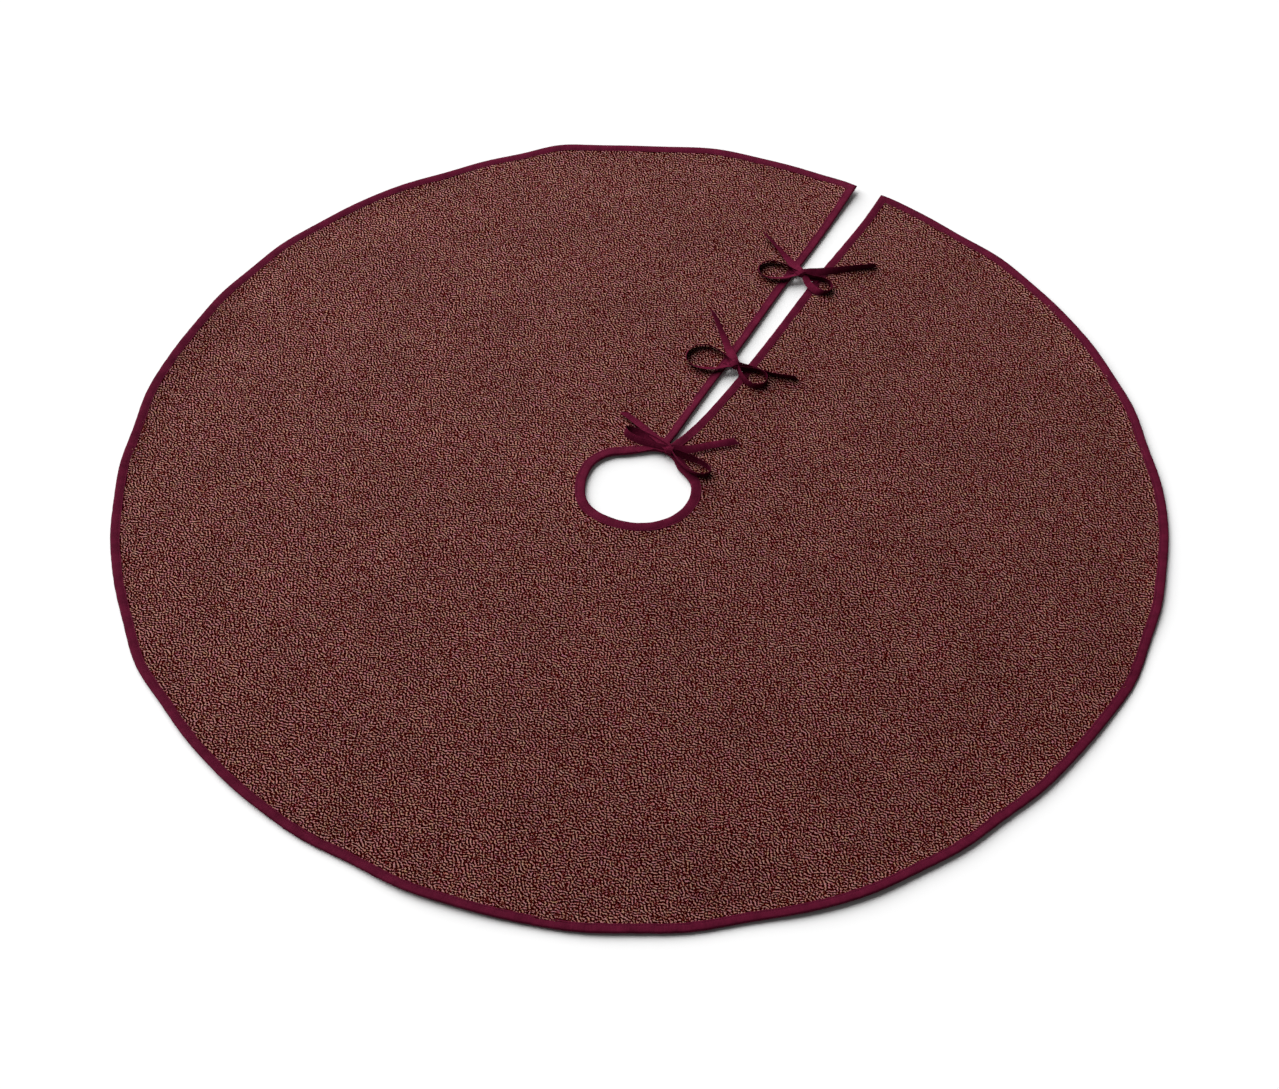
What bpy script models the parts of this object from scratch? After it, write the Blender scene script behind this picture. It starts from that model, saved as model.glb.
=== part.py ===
"""Round tree skirt, laid flat and tied shut with three ribbon bows.

The origin is on the floor at the middle of the trunk hole. +Z is up, and +Y runs along the slit
to the rim, so -X is the left flap and +X the right flap. The two flaps and the bows that tie them
are one body. The plain half beyond the hole folds over them about a line along X.
Every piece is its own object, and touching pieces are drawn a small gap apart.
"""

import math

import bmesh
import bpy
from mathutils import Matrix, Vector

# Driving dimensions, in metres.
RIM_RADIUS = 0.600  # finished edge of the skirt
HOLE_RADIUS = 0.060  # finished edge of the trunk hole, before the neck bow draws it in
BINDING_WIDTH = 0.009
TAPE_THICKNESS = 0.0005
FACE_THICKNESS = 0.0012
LINING_THICKNESS = 0.0005
RIBBON_WIDTH = 0.009  # the same folded tape as the binding
RIBBON_THICKNESS = 0.0006
THREAD_RADIUS = 0.00025
GAP = 0.0003  # between neighbours that touch
FOLD_HEIGHT = 0.012  # the fold line's height, which leaves room for the bows between the halves

# The layers, from the floor up.
LINING_BOTTOM = TAPE_THICKNESS + GAP
FACE_BOTTOM = LINING_BOTTOM + LINING_THICKNESS + GAP
BINDING_TOP = FACE_BOTTOM + FACE_THICKNESS + GAP + TAPE_THICKNESS
THREAD_HEIGHT = BINDING_TOP + GAP + THREAD_RADIUS
CLOTH_INSET = 0.0016  # cloth edge inside the finished edge
STITCH_INSET = BINDING_WIDTH - 0.0015

# The slit, between the neck and the rim. The left edge runs straight; the right one flares first.
NECK_HALF_GAP = 0.001
NECK_Y = 0.069  # where the slit bindings start, beyond the hole's binding
LEFT_SPREAD = 0.014
LEFT_SPREAD_START = 0.100
RIGHT_SPREAD = 0.015
RIGHT_SPREAD_START = 0.075
RIGHT_FLARE = 0.050

# How the neck bow pulls the hole out of round: (degrees left of the slit, share of radius, spread).
HOLE_BULGES = ((40, -0.20, 30), (-33, -0.15, 20), (149, 0.08, 25), (-100, 0.03, 35))

ARC_STEP = 5  # degrees between the stations of a rim arc
HOLE_STEP = 9
SLIT_STEPS = 11
FOLD_END = 0.0015  # an edge runs this far square to the fold line

# Bows. A direction is in degrees, counter-clockwise from +X. Each piece leaves the knot at its exit
# angle and then runs along its own direction. A loop has a length and a breadth.
BOWS = {
    "neck": {
        "knot": (0.005, 0.066),
        "left_tail": (135, 165, 0.074),
        "right_tail": (50, 41, 0.070),
        "left_loop": (225, 187, 0.054, 0.009),
        "right_loop": (-40, -14, 0.044, 0.017),
    },
    "middle": {
        "knot": (0.001, 0.227),
        "left_tail": (125, 134, 0.088),
        "right_tail": (30, 12, 0.073),
        "left_loop": (200, 193, 0.049, 0.028),
        "right_loop": (-45, -24, 0.040, 0.020),
    },
    "outer": {
        "knot": (-0.0045, 0.410),
        "left_tail": (135, 151, 0.074),
        "right_tail": (40, 37, 0.088),
        "left_loop": (215, 210, 0.046, 0.022),
        "right_loop": (-35, -20, 0.042, 0.024),
    },
}
KNOT_SIZE = (0.011, 0.009, 0.0064)
KNOT_BOTTOM = BINDING_TOP + 0.0013  # clear of the tie ends that pass below it
ROOT_DISTANCE = 0.0073  # from a knot's middle to where its loops and tails start
TAIL_ROOT_HEIGHT = 0.0064
TAIL_TIP_HEIGHT = 0.0051
LOOP_LEG_GAP = 0.0015  # half the distance between a loop's two legs at the knot
TIE_END_HEIGHT = BINDING_TOP + GAP + RIBBON_THICKNESS / 2
TIE_REACH = 0.0010  # how far past a knot's middle line its ties stop
BAR_TACK_SIZE = (0.0022, 0.0070, 0.0004)
BAR_TACK_INSET = 0.0045
NECK_TIE_ANGLE = 14  # degrees from the slit at which the neck ties leave the hole's binding
NECK_TIE_REACH = 0.0032  # how far from the neck knot's middle line its ties stop
NECK_STITCH_ANGLE = 24  # where the hole's stitching starts, clear of the neck ties

LEFT, RIGHT = -1, 1
SIDE_NAMES = {LEFT: "left", RIGHT: "right"}

COLOURS = {
    "face_fabric": ((0.114, 0.040, 0.034), 0.55, 0.25),
    "lining_fabric": ((0.060, 0.010, 0.019), 0.85, 0.0),
    "binding_tape": ((0.098, 0.011, 0.028), 0.65, 0.0),
    "ribbon": ((0.105, 0.012, 0.030), 0.45, 0.0),
    "thread": ((0.070, 0.008, 0.020), 0.60, 0.0),
}


def clear_scene():
    for obj in list(bpy.data.objects):
        bpy.data.objects.remove(obj)


def new_collection(name, hidden=False):
    collection = bpy.data.collections.new(name)
    bpy.context.scene.collection.children.link(collection)
    collection.hide_render = hidden
    return collection


def make_material(name):
    colour, roughness, metallic = COLOURS[name]
    material = bpy.data.materials.new(name)
    material.use_nodes = True
    shader = material.node_tree.nodes["Principled BSDF"]
    shader.inputs["Base Color"].default_value = (*colour, 1)
    shader.inputs["Roughness"].default_value = roughness
    shader.inputs["Metallic"].default_value = metallic
    return material


# Plan shape of the skirt.


def on_circle(angle, radius):
    """The plan point at this angle, in degrees left of the slit."""
    turn = math.radians(angle)
    return Vector((-radius * math.sin(turn), radius * math.cos(turn)))


def hole_radius(angle):
    share = 0.0
    for centre, height, spread in HOLE_BULGES:
        away = (angle - centre + 180) % 360 - 180
        share += height * math.exp(-((away / spread) ** 2))
    return HOLE_RADIUS * (1 + share)


def slit_x(side, y):
    """X of a flap's finished slit edge."""
    if side == LEFT:
        along = max(0.0, y - LEFT_SPREAD_START) / (RIM_RADIUS - LEFT_SPREAD_START)
        return -NECK_HALF_GAP - LEFT_SPREAD * along
    along = max(0.0, y - RIGHT_SPREAD_START) / RIGHT_FLARE
    return NECK_HALF_GAP + RIGHT_SPREAD * (1 - math.exp(-along))


def steps(start, end, count):
    return [start + (end - start) * i / count for i in range(count + 1)]


def arc_angles(start, end, step):
    """Angles from start to end: the multiples of step between them, and both ends."""
    low, high = min(start, end), max(start, end)
    first, last = math.ceil(low / step + 0.2), math.floor(high / step - 0.2)
    angles = [low] + [k * step for k in range(first, last + 1)] + [high]
    return angles if start < end else angles[::-1]


def corner_angle(side, inset, radius):
    """Degrees from the slit's middle to where the slit edge, moved in by inset, meets this radius."""
    reach = abs(slit_x(side, radius)) + inset
    return math.degrees(math.asin(reach / radius))


def square_ends(path):
    """The path with each end that meets the fold line run straight at it."""
    first, last = path[0], path[-1]
    if abs(first.y) < 2 * GAP:
        path = [first, Vector((first.x, math.copysign(FOLD_END, first.y)))] + path[1:]
    if abs(last.y) < 2 * GAP:
        path = path[:-1] + [Vector((last.x, math.copysign(FOLD_END, last.y))), last]
    return path


def rim_arc(start, end, inset=0.0):
    """Along the rim. For this and hole_arc, an angle of 90 or 270 means just short of the fold
    line, on the arc's own side of it."""
    radius = RIM_RADIUS - inset
    ends = clear_of_fold(start, end, radius)
    return square_ends([on_circle(a, radius) for a in arc_angles(*ends, ARC_STEP)])


def hole_arc(start, end, inset=0.0):
    ends = clear_of_fold(start, end, HOLE_RADIUS + inset)
    angles = arc_angles(*ends, HOLE_STEP)
    return square_ends([on_circle(a, hole_radius(a) + inset) for a in angles])


def clear_of_fold(start, end, radius):
    short = math.degrees(GAP / radius)
    inwards = short if start < end else -short
    start += inwards if start % 180 == 90 else 0
    end -= inwards if end % 180 == 90 else 0
    return start, end


def slit_line(side, end_y, inset=0.0):
    """Along a flap's slit edge from the neck to end_y. The steps are short at the neck."""
    shares = steps(0, 1, SLIT_STEPS)
    stations = [NECK_Y + (end_y - NECK_Y) * share**1.6 for share in shares]
    return [Vector((slit_x(side, y) + side * inset, y)) for y in stations]


def flap_outline(side, inset):
    """Plan outline of a flap's cloth: along the rim, back round the hole, then up the slit."""
    rim = RIM_RADIUS - inset
    rim_start = corner_angle(side, inset, rim)
    hole_start = corner_angle(side, inset, HOLE_RADIUS)
    points = rim_arc(-side * rim_start, -side * 90, inset)
    points += hole_arc(-side * 90, -side * hole_start, inset)
    return points + slit_line(side, rim, inset)[:-1]


def plain_outline(inset):
    return rim_arc(90, 270, inset) + hole_arc(270, 90, inset)


# Makers of one piece each.


def add_curve(name, paths_3d, collection, dimensions="2D", cyclic=False):
    curve = bpy.data.curves.new(name, "CURVE")
    curve.dimensions = dimensions
    spline = curve.splines.new("POLY")
    spline.points.add(len(paths_3d) - 1)
    for point, co in zip(spline.points, paths_3d):
        point.co = (*Vector(co).to_3d(), 1)
    spline.use_cyclic_u = cyclic
    obj = bpy.data.objects.new(name, curve)
    collection.objects.link(obj)
    return obj


def solidify(obj, thickness):
    modifier = obj.modifiers.new("thickness", "SOLIDIFY")
    modifier.thickness = thickness
    modifier.offset = 0
    modifier.use_even_offset = True


def cloth_panel(name, outline, bottom, thickness, collection, material):
    obj = add_curve(name, outline, collection, cyclic=True)
    obj.data.fill_mode = "BOTH"
    obj.data.extrude = thickness / 2
    obj.location.z = bottom + thickness / 2
    obj.data.materials.append(material)
    return obj


def channel_profile(helpers):
    """Middle of the tape where it is folded round the cloth's edge: +X is in from the edge."""
    half = TAPE_THICKNESS / 2
    points = [
        (BINDING_WIDTH, BINDING_TOP - half),
        (half, BINDING_TOP - half),
        (half, half),
        (BINDING_WIDTH, half),
    ]
    profile = add_curve("binding_profile", points, helpers)
    profile.hide_render = True
    profile.display_type = "WIRE"
    return profile


def binding(name, path, profile, collection, material):
    obj = add_curve(name, path, collection)
    obj.data.bevel_mode = "OBJECT"
    obj.data.bevel_object = profile
    solidify(obj, TAPE_THICKNESS)
    obj.data.materials.append(material)
    return obj


def offset_path(path, distance):
    """The path moved to its right-hand side, towards the cloth."""
    moved = []
    for i, point in enumerate(path):
        before, after = path[max(i - 1, 0)], path[min(i + 1, len(path) - 1)]
        along = (after - before).normalized()
        moved.append(point + Vector((along.y, -along.x)) * distance)
    return moved


def stitching(name, path, collection, material):
    """One row of thread along the binding's inner edge."""
    row = [(*point, THREAD_HEIGHT) for point in offset_path(path, STITCH_INSET)]
    obj = add_curve(name, row, collection, dimensions="3D")
    obj.data.twist_mode = "Z_UP"
    obj.data.bevel_depth = THREAD_RADIUS
    obj.data.bevel_resolution = 0
    obj.data.use_fill_caps = True
    obj.data.materials.append(material)
    return obj


def ribbon(name, path, standing, matrix, collection, material):
    """A strip along a path of (distance, offset) pairs. The offset is sideways where the ribbon
    stands on its edge, and upwards where it lies flat."""
    obj = add_curve(name, path, collection)
    obj.data.fill_mode = "NONE"
    obj.data.extrude = RIBBON_WIDTH / 2
    solidify(obj, RIBBON_THICKNESS)
    lay_flat = Matrix() if standing else Matrix.Rotation(math.radians(90), 4, "X")
    obj.matrix_world = matrix @ lay_flat
    obj.data.materials.append(material)
    return obj


def knot(name, place, collection, material):
    """The lump where the two ties cross: a squashed ball of wrapped ribbon."""
    mesh = bpy.data.meshes.new(name)
    shape = bmesh.new()
    bmesh.ops.create_uvsphere(shape, u_segments=16, v_segments=8, radius=0.5)
    bmesh.ops.scale(shape, vec=KNOT_SIZE, verts=shape.verts)
    shape.to_mesh(mesh)
    shape.free()
    mesh.shade_smooth()
    mesh.materials.append(material)
    obj = bpy.data.objects.new(name, mesh)
    obj.location = (*place, KNOT_BOTTOM + KNOT_SIZE[2] / 2)
    collection.objects.link(obj)
    return obj


def bar_tack(name, place, collection, material):
    mesh = bpy.data.meshes.new(name)
    shape = bmesh.new()
    bmesh.ops.create_cube(shape, size=1)
    bmesh.ops.scale(shape, vec=BAR_TACK_SIZE, verts=shape.verts)
    shape.to_mesh(mesh)
    shape.free()
    mesh.materials.append(material)
    obj = bpy.data.objects.new(name, mesh)
    obj.location = (*place, BINDING_TOP + GAP + BAR_TACK_SIZE[2] / 2)
    collection.objects.link(obj)
    return obj


# Groups of pieces.


def make_cloth(collection, materials):
    layers = (
        ("face_cloth", FACE_BOTTOM, FACE_THICKNESS, materials["face_fabric"]),
        ("lining", LINING_BOTTOM, LINING_THICKNESS, materials["lining_fabric"]),
    )
    for layer, bottom, thickness, material in layers:
        for side, side_name in SIDE_NAMES.items():
            outline = flap_outline(side, CLOTH_INSET)
            name = f"{layer}_{side_name}"
            cloth_panel(name, outline, bottom, thickness, collection, material)
        outline = plain_outline(CLOTH_INSET)
        cloth_panel(f"{layer}_plain", outline, bottom, thickness, collection, material)


def edge_paths(stitched):
    """Every bound edge's path, by name, with the cloth on its right-hand side."""
    paths = {"rim_{}_plain": rim_arc(-90, -270), "hole_{}_plain": hole_arc(90, 270)}
    for side, side_name in SIDE_NAMES.items():
        rim_start = corner_angle(side, BINDING_WIDTH + 3 * GAP, RIM_RADIUS)
        hole_start = NECK_STITCH_ANGLE if stitched else corner_angle(side, 0, HOLE_RADIUS)
        rim = rim_arc(-side * 90, -side * rim_start)
        hole = hole_arc(-side * 90, -side * hole_start)
        top = math.sqrt(RIM_RADIUS**2 - slit_x(side, RIM_RADIUS) ** 2)
        slit = slit_line(side, top)
        paths["rim_{}_" + side_name] = rim if side == LEFT else rim[::-1]
        paths["hole_{}_" + side_name] = hole[::-1] if side == LEFT else hole
        paths["slit_{}_" + side_name] = slit[::-1] if side == LEFT else slit
    return paths


def make_edges(collection, profile, materials):
    for pattern, path in edge_paths(stitched=False).items():
        name = pattern.format("binding")
        binding(name, path, profile, collection, materials["binding_tape"])
    for pattern, path in edge_paths(stitched=True).items():
        stitching(pattern.format("stitching"), path, collection, materials["thread"])


def heading(place, height, direction):
    """A matrix that puts local X along this plan direction, and the local origin at the place."""
    turn = Matrix.Rotation(math.radians(direction), 4, "Z")
    return Matrix.Translation((*place, height)) @ turn


def exit_point(bow, exit_angle):
    turn = math.radians(exit_angle)
    return Vector(bow["knot"]) + ROOT_DISTANCE * Vector((math.cos(turn), math.sin(turn)))


def loop_path(length, breadth):
    """A teardrop, seen from above, that leaves the knot on one side and comes back on the other."""
    widest = 0.77  # the largest value of sin(t) sin(t / 2)
    path = []
    for t in steps(0, 2 * math.pi, 20):
        along = length * (1 - math.cos(t)) / 2
        across = breadth / 2 / widest * math.sin(t) * math.sin(t / 2)
        path.append((along, LOOP_LEG_GAP * math.cos(t / 2) + across))
    return path


def tail_path(length):
    """Down from the knot in an easy curve, then along just above the cloth."""
    drop = TAIL_ROOT_HEIGHT - TAIL_TIP_HEIGHT
    return [(length * s, -drop * (1 - (1 - s) ** 2)) for s in steps(0, 1, 8)]


def make_bow(name, bow, collection, materials):
    ribbon_material = materials["ribbon"]
    knot(f"{name}_bow_knot", bow["knot"], collection, ribbon_material)
    for side_name in SIDE_NAMES.values():
        exit_angle, direction, length = bow[f"{side_name}_tail"]
        frame = heading(exit_point(bow, exit_angle), TAIL_ROOT_HEIGHT, direction)
        tail_name = f"{name}_bow_{side_name}_tail"
        ribbon(tail_name, tail_path(length), False, frame, collection, ribbon_material)
        exit_angle, direction, length, breadth = bow[f"{side_name}_loop"]
        height = KNOT_BOTTOM + RIBBON_WIDTH / 2
        frame = heading(exit_point(bow, exit_angle), height, direction)
        path = loop_path(length, breadth)
        loop_name = f"{name}_bow_{side_name}_loop"
        ribbon(loop_name, path, True, frame, collection, ribbon_material)


def make_gap_ties(name, bow, collection, materials):
    """The two ties of a bow over the open slit. Each comes out of its binding's fold and rises to
    stop under the knot, and a bar tack on the binding holds its sewn end."""
    knot_x, y = bow["knot"]
    start_height = BINDING_TOP / 2
    rise = TIE_END_HEIGHT - start_height
    for side, side_name in SIDE_NAMES.items():
        start_x = slit_x(side, y) - side * 2 * GAP
        run = abs(start_x - (knot_x + side * TIE_REACH))
        path = [(run * s, rise * s * s * (3 - 2 * s)) for s in steps(0, 1, 6)]
        frame = heading((start_x, y), start_height, 180 if side == RIGHT else 0)
        tie_name = f"{name}_bow_{side_name}_tie"
        ribbon(tie_name, path, False, frame, collection, materials["ribbon"])
        tack_place = (slit_x(side, y) + side * BAR_TACK_INSET, y)
        bar_tack(f"{name}_{side_name}_bar_tack", tack_place, collection, materials["thread"])


def make_neck_ties(name, bow, collection, materials):
    """The neck ties run over the hole's binding to stop under the knot."""
    for side, side_name in SIDE_NAMES.items():
        angle = -side * NECK_TIE_ANGLE
        start = on_circle(angle, hole_radius(angle) + BINDING_WIDTH / 2)
        reach = Vector(bow["knot"]) + Vector((side * NECK_TIE_REACH, 0)) - start
        direction = math.degrees(math.atan2(reach.y, reach.x))
        frame = heading(start, TIE_END_HEIGHT, direction)
        path = [(reach.length * s, 0) for s in steps(0, 1, 2)]
        tie_name = f"{name}_bow_{side_name}_tie"
        ribbon(tie_name, path, False, frame, collection, materials["ribbon"])


def main():
    clear_scene()
    skirt = new_collection("tree_skirt")
    helpers = new_collection("helpers", hidden=True)
    materials = {name: make_material(name) for name in COLOURS}
    make_cloth(skirt, materials)
    make_edges(skirt, channel_profile(helpers), materials)
    for name, bow in BOWS.items():
        make_bow(name, bow, skirt, materials)
        make_ties = make_neck_ties if name == "neck" else make_gap_ties
        make_ties(name, bow, skirt, materials)


main()
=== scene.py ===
"""The looks of a round tree skirt: lurex cloth, lining, folded tapes, stitches and ribbon bows,
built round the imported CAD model.

Angles are in degrees left of the slit, seen from above. Lengths are in metres.
Every soft piece is drawn as if the skirt lay flat, and then lifted by the same settled surface,
which comes from a cloth simulation of the whole skirt on the floor.
"""

import math
import random

import bmesh
import bpy
import numpy as np
from mathutils import Matrix, Vector


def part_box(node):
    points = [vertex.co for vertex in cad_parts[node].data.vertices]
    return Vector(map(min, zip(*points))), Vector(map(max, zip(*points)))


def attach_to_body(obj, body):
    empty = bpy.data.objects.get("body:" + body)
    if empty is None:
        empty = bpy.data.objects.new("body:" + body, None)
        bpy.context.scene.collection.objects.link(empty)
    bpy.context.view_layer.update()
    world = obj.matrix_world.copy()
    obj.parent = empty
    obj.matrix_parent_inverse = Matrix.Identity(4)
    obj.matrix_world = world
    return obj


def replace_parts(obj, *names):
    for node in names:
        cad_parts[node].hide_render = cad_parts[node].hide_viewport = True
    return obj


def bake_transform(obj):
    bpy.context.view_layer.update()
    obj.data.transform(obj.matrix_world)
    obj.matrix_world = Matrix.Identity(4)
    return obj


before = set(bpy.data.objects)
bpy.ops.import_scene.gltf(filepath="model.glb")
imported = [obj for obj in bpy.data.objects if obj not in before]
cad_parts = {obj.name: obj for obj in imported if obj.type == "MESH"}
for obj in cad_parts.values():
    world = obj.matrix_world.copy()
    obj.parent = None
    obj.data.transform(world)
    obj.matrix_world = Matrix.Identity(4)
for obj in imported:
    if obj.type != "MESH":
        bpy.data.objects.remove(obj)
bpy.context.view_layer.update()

MM = 0.001

# Plan shape. The driving sizes come from the CAD model.
RIM_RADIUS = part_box("rim_binding_plain")[1].x
HOLE_RADIUS = 60 * MM
TAPE_WIDTH = 9 * MM
TAPE_SHARES = {"rim": 1.20, "slit": 1.14, "hole": 1.32}  # the tapes spread as they are pressed
CLOTH_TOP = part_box("face_cloth_plain")[1].z
CLOTH_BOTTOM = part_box("face_cloth_plain")[0].z
LINING_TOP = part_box("lining_plain")[1].z
LINING_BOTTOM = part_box("lining_plain")[0].z
CLOTH_INSET = 1.6 * MM
NECK_Y = 67 * MM
FOLD_REACH = 16 * MM  # the mesh is made finer this far on either side of the fold line, where the cloth would bend

# Each bulge or dent is (angle, share of the radius, spread in degrees).
RIM_BULGES = (
    (-160, 0.005, 14),
    (-108, -0.005, 9),
    (-74, 0.008, 17),
    (-24, -0.007, 12),
    (-5, -0.010, 8),
    (0, -0.009, 2.5),
    (6, -0.008, 7),
    (40, 0.009, 3.5),
    (60, -0.005, 9),
    (104, -0.0065, 15),
    (151, 0.006, 13),
)
HOLE_BULGES = ((40, -0.20, 30), (-33, -0.15, 20), (149, 0.08, 25), (-100, 0.03, 35))

# The bound rim also ripples all the way round: (number of ripples, share of the radius, phase).
RIM_RIPPLES = ((11, 0.0012, 0.4), (17, 0.0016, 2.1), (26, 0.0013, 4.4), (37, 0.0007, 1.2))

# How the slit opens from the hole to the rim. A run is the y where an opening starts, and how far
# it takes.
SLIT_START = 1 * MM  # the finished edges' distance from the middle at the hole
LEFT_OPENING = 14 * MM
LEFT_RUN = (100 * MM, 500 * MM)
RIGHT_OPENING = 15 * MM
RIGHT_RUN = (75 * MM, 50 * MM)
MOUTH_OPENING = 2.8 * MM  # the right edge turns out this much more towards the rim
MOUTH_RUN = (420 * MM, 120 * MM)
LEFT_WAVER = (0.6 * MM, 34 * MM)  # height, and length over a radian
RIGHT_WAVER = (0.5 * MM, 41 * MM)

LEFT, RIGHT = -1, 1
SIDES = {"left": LEFT, "right": RIGHT}


def bulged(angle, radius, bulges):
    """A radius with bulges, for an array of angles."""
    angle = np.asarray(angle, float)
    share = np.zeros_like(angle)
    for centre, height, spread in bulges:
        away = (angle - centre + 180) % 360 - 180
        share += height * np.exp(-((away / spread) ** 2))
    return radius * (1 + share)


def rim_radius(angle):
    radius = bulged(angle, RIM_RADIUS, RIM_BULGES)
    for count, share, phase in RIM_RIPPLES:
        radius += RIM_RADIUS * share * np.sin(count * np.radians(angle) + phase)
    return radius


def hole_radius(angle):
    return bulged(angle, HOLE_RADIUS, HOLE_BULGES)


def along_run(y, run):
    """How far y is past a run's start, as a share of its length, from zero up."""
    start, length = run
    return ((y - start) / length).clip(0)


def slit_x(side, y):
    """X of a flap's finished slit edge, with the slight waver of a hand-laid edge."""
    y = np.asarray(y, float)
    if side == LEFT:
        height, length = LEFT_WAVER
        opening = LEFT_OPENING * along_run(y, LEFT_RUN).clip(0, 1)
        return -SLIT_START - opening + height * np.sin(y / length)
    height, length = RIGHT_WAVER
    opening = RIGHT_OPENING * (1 - np.exp(-along_run(y, RIGHT_RUN)))
    mouth = MOUTH_OPENING * along_run(y, MOUTH_RUN).clip(0, 1)
    return SLIT_START + opening + mouth + height * np.sin(y / length + 1)


def plan(angle, radius):
    """Plan points, as an array of (x, y)."""
    turn = np.radians(angle)
    return np.stack([-radius * np.sin(turn), radius * np.cos(turn)], axis=-1)


def slit_angle(side, radius, inset):
    """The angle of a flap's slit edge, moved in by inset, at this radius."""
    radius = np.asarray(radius, float)
    x = slit_x(side, radius)
    for _ in range(3):
        x = slit_x(side, np.sqrt(radius**2 - x**2)) + side * inset
    return -np.degrees(np.arcsin(x / radius))


# Meshes.

SHARP_ANGLE = math.radians(50)


def mesh_object(name, points, faces, uvs, material):
    """A smooth-shaded mesh object. uvs are per vertex, in metres along the cloth."""
    mesh = bpy.data.meshes.new(name)
    mesh.from_pydata(points, [], faces)
    shape = bmesh.new()
    shape.from_mesh(mesh)
    bmesh.ops.recalc_face_normals(shape, faces=shape.faces)
    shape.to_mesh(mesh)
    shape.free()
    layer = mesh.uv_layers.new(name="Cloth")
    corners = np.empty(len(mesh.loops), np.int32)
    mesh.loops.foreach_get("vertex_index", corners)
    layer.data.foreach_set("uv", np.asarray(uvs, np.float32)[corners].ravel())
    mesh.shade_smooth()
    mesh.set_sharp_from_angle(angle=SHARP_ANGLE)
    mesh.materials.append(material)
    obj = bpy.data.objects.new(name, mesh)
    bpy.context.scene.collection.objects.link(obj)
    return obj


def uv_grid(u, v):
    """The uvs of a sweep, with u for each station and v for each corner."""
    return np.stack(np.broadcast_arrays(u[:, None], v[None, :]), axis=-1)


class Builder:
    """Collects swept bodies, each a row of cross-sections, into one mesh."""

    def __init__(self):
        self.points, self.faces, self.uvs, self.count = [], [], [], 0

    def sweep(self, sections, uvs, closed=False):
        """sections is (stations, corners, 3), and each section is a closed loop. Its corners run
        clockwise seen along the sweep, so that the faces point out."""
        stations, corners = sections.shape[:2]
        first = self.count
        self.points.append(sections.reshape(-1, 3))
        self.uvs.append(np.asarray(uvs, float).reshape(-1, 2))
        ring = np.arange(corners)
        after = np.roll(ring, -1)
        last = stations if closed else stations - 1
        for i in range(last):
            a, b = first + i * corners, first + (i + 1) % stations * corners
            quads = np.stack([a + ring, b + ring, b + after, a + after], axis=1)
            self.faces += quads.tolist()
        if not closed:
            self.faces.append((first + ring).tolist())
            self.faces.append((first + (stations - 1) * corners + ring[::-1]).tolist())
        self.count += stations * corners

    def build(self, name, material):
        points = lifted(np.concatenate(self.points))
        return mesh_object(name, points.tolist(), self.faces, np.concatenate(self.uvs), material)


# The settled surface: how far the skirt stands off the floor at each place.

LIFT_ROWS = 24
LIFT_COLUMNS = 181
SETTLE_FRAMES = 40
EDGE_RISE = 3.2 * MM  # the thick bound edge holds itself this far off the floor
CORNER_RISE = 3.0 * MM  # and each flap's corner stands up this much more
CORNER_REACH = 45 * MM
EDGE_WAVES = (3, 5, 8, 11, 15, 19)  # how many of each wave stand round the rim
EDGE_WAVE_SHARE = 0.45
LEAST_RISE_SHARE = 0.25
SEAM_BLEND = 12 * MM  # the flaps' heights run together this far from the slit's middle


def polar_grid(rows, columns):
    """Plan points of the whole skirt, from the left slit edge round to the right one."""
    shares = np.linspace(0, 1, rows)[:, None]
    angles = np.linspace(0, 360, columns)[None, :]
    radii = hole_radius(angles) + (rim_radius(angles) - hole_radius(angles)) * shares
    start, end = slit_angle(LEFT, radii, 0), 360 + slit_angle(RIGHT, radii, 0)
    return plan(start + (end - start) * angles / 360, radii)


def held_heights(flat):
    """How high the bound edges stand, in slow waves, for each point of the grid."""
    rng = np.random.default_rng(11)
    rows, columns = flat.shape[:2]
    shares = np.linspace(0, 1, rows)[:, None]
    around = np.linspace(0, 2 * math.pi, columns)[None, :]
    waves = np.zeros((rows, columns))
    for count in EDGE_WAVES:
        phase = rng.uniform(0, 2 * math.pi)
        waves += np.sin(count * around + phase + 2 * shares) / count**0.5
    heights = EDGE_RISE * (1 + EDGE_WAVE_SHARE * waves * shares).clip(LEAST_RISE_SHARE)
    for corner in (flat[-1, 0], flat[-1, -1]):
        away = np.linalg.norm(flat - corner, axis=-1)
        heights += CORNER_RISE * np.exp(-((away / CORNER_REACH) ** 2))
    return heights


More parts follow.
